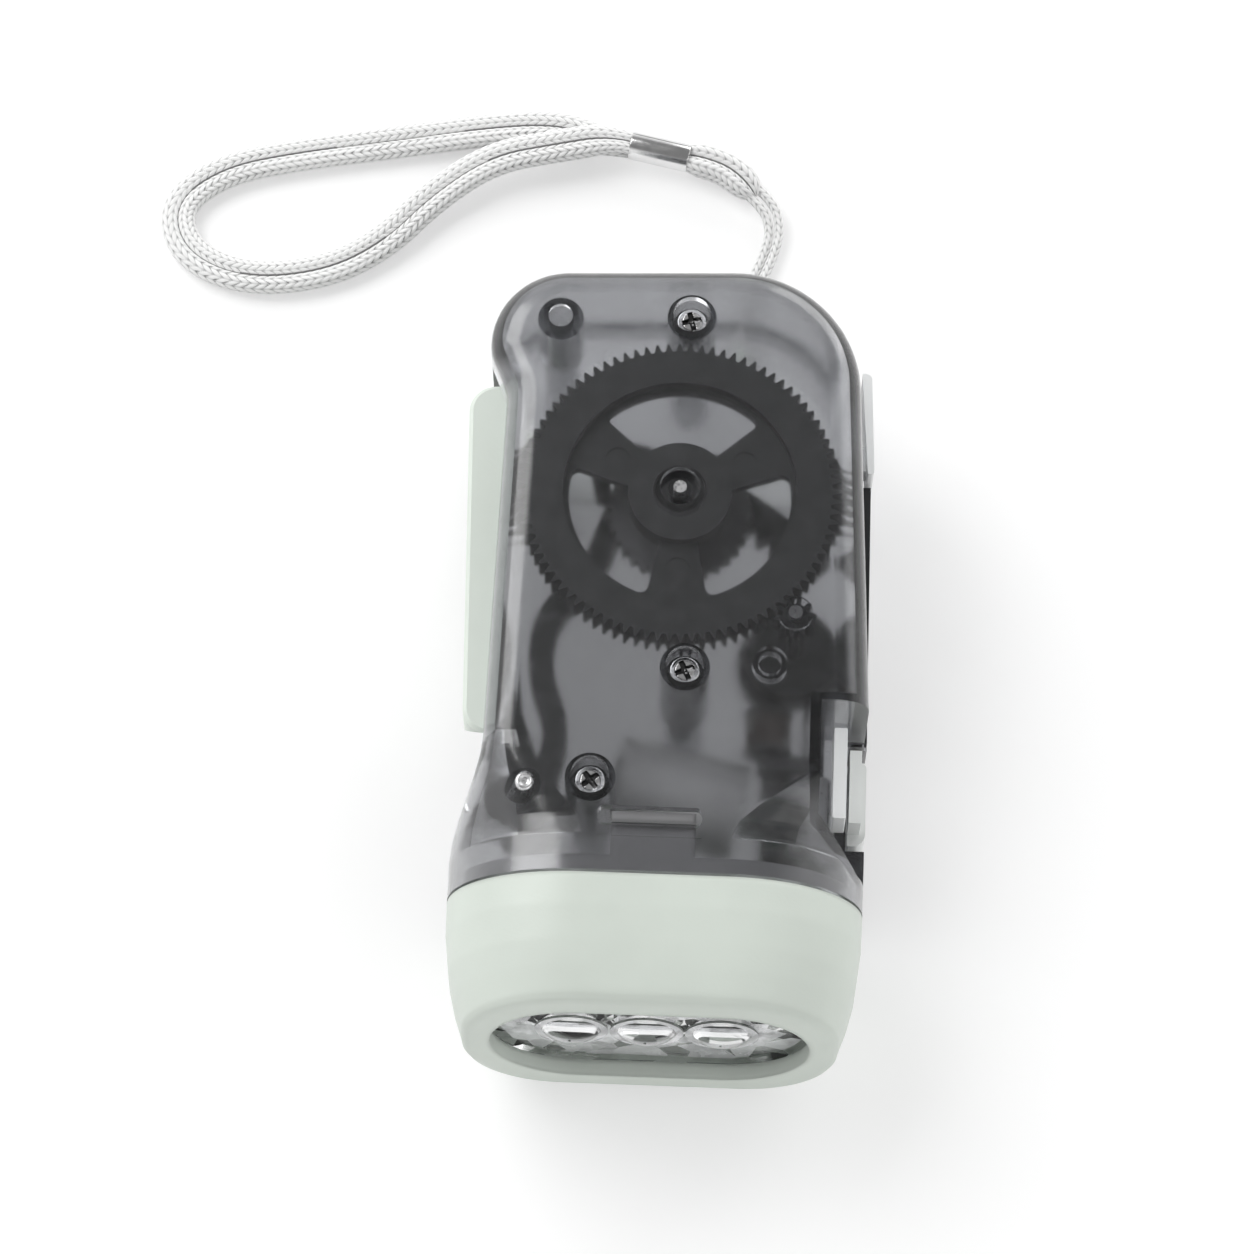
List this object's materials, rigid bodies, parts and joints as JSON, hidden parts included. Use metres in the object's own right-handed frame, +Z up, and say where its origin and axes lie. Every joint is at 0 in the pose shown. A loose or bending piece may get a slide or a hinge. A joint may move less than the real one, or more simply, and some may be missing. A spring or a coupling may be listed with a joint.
{
  "type": "squeeze dynamo flashlight",
  "caption": "Hand-squeezed dynamo flashlight: clear casing over a large gear, side lever, pale oval head with a lens, slide switch, lever lock and a wrist strap.",
  "frame": {"origin": "middle of the body's bounding box on the plane that its back lies on, the wrist strap left out", "axes": "+Z up out of the front cover with the object lying on its back, -Y towards the lens, +Y towards the strap, -X towards the squeeze lever, +X towards the switch"},
  "size_m": [0.093, 0.1318, 0.0335],
  "materials": {
    "clear_shell": "clear smoke-tinted plastic, polished",
    "white_plastic": "smooth pale moulded plastic, satin gloss",
    "clear_lens": "clear moulded plastic",
    "chrome_reflector": "bright metallised plastic",
    "lamp_resin": "clear resin",
    "green_board": "printed board",
    "black_plastic": "black moulded plastic, fine matt",
    "dark_arm": "black moulded plastic, satin",
    "pinion_plastic": "dark grey moulded plastic",
    "steel": "bright steel",
    "screw_steel": "nickel-plated steel",
    "spring_steel": "spring steel wire",
    "magnet": "sintered dark magnet",
    "core_steel": "laminated sheet steel",
    "bobbin": "black moulded plastic",
    "copper": "varnished copper wire",
    "cell_steel": "nickel-plated steel",
    "sleeve_film": "black shrink film",
    "parts_mixed": "black component bodies",
    "switch_steel": "tinned sheet steel",
    "plate_white": "pale smooth plastic",
    "wire_red": "soft wire insulation",
    "strap_cord": "white braided cord",
    "string_cord": "white twisted string",
    "crimp_metal": "bright folded metal"
  },
  "bodies": {
    "casing": {"front_shell": "clear_shell", "rear_shell": "clear_shell", "bezel": "white_plastic", "lens": "clear_lens", "reflector": "chrome_reflector", "lamps": "lamp_resin", "lamp_board": "green_board", "gear_shaft": "steel", "lever_pin": "steel", "return_spring": "spring_steel", "stator_core": "core_steel", "coil_bobbin": "bobbin", "coil_winding": "copper", "button_cells": "cell_steel", "cell_sleeve": "sleeve_film", "cell_tabs": "steel", "circuit_board": "green_board", "board_parts": "parts_mixed", "slide_switch": "switch_steel", "switch_plate": "plate_white", "side_strip": "black_plastic", "case_screws": "screw_steel", "hookup_wires": "wire_red", "strap_pin": "white_plastic", "string_loop": "string_cord", "strap_fold": "strap_cord", "crimp_sleeve": "crimp_metal", "strap_loop": "strap_cord"},
    "lever": {"lever_arm": "dark_arm", "lever_grip": "white_plastic"},
    "gear_train": {"ratchet_pinion": "pinion_plastic", "drive_gear": "black_plastic", "clutch_pawls": "dark_arm"},
    "rotor": {"rotor_shaft": "steel", "rotor_pinion": "white_plastic", "flywheel": "black_plastic", "rotor_magnet": "magnet"},
    "switch_slider": {"switch_knob": "white_plastic"},
    "lock": {"lock_slider": "plate_white"}
  },
  "joints": [
    {"name": "lever_swing", "type": "hinge", "parent": "casing", "child": "lever", "pos_m": [-0.01582, -0.01959, 0.02], "axis": [0, 0, 1], "range_deg": [0, 22]},
    {"name": "gear_spin", "type": "hinge", "parent": "casing", "child": "gear_train", "pos_m": [0.00125, 0.0184, 0.025], "axis": [0, 0, 1], "range_deg": [0, 284]},
    {"name": "rotor_spin", "type": "hinge", "parent": "casing", "child": "rotor", "pos_m": [0.01562, 0.00299, 0.015], "axis": [0, 0, 1], "range_deg": [-2500, 0]},
    {"name": "switch_slide", "type": "slide", "parent": "casing", "child": "switch_slider", "axis": [0, 1, 0], "range_m": [0, 0.0016]},
    {"name": "lock_slide", "type": "slide", "parent": "casing", "child": "lock", "axis": [0, 1, 0], "range_m": [0, 0.003]}
  ],
  "couplings": [
    {"joint": "gear_spin", "follows": "lever_swing", "ratio": 12.9},
    {"joint": "rotor_spin", "follows": "lever_swing", "ratio": -113.52}
  ]
}
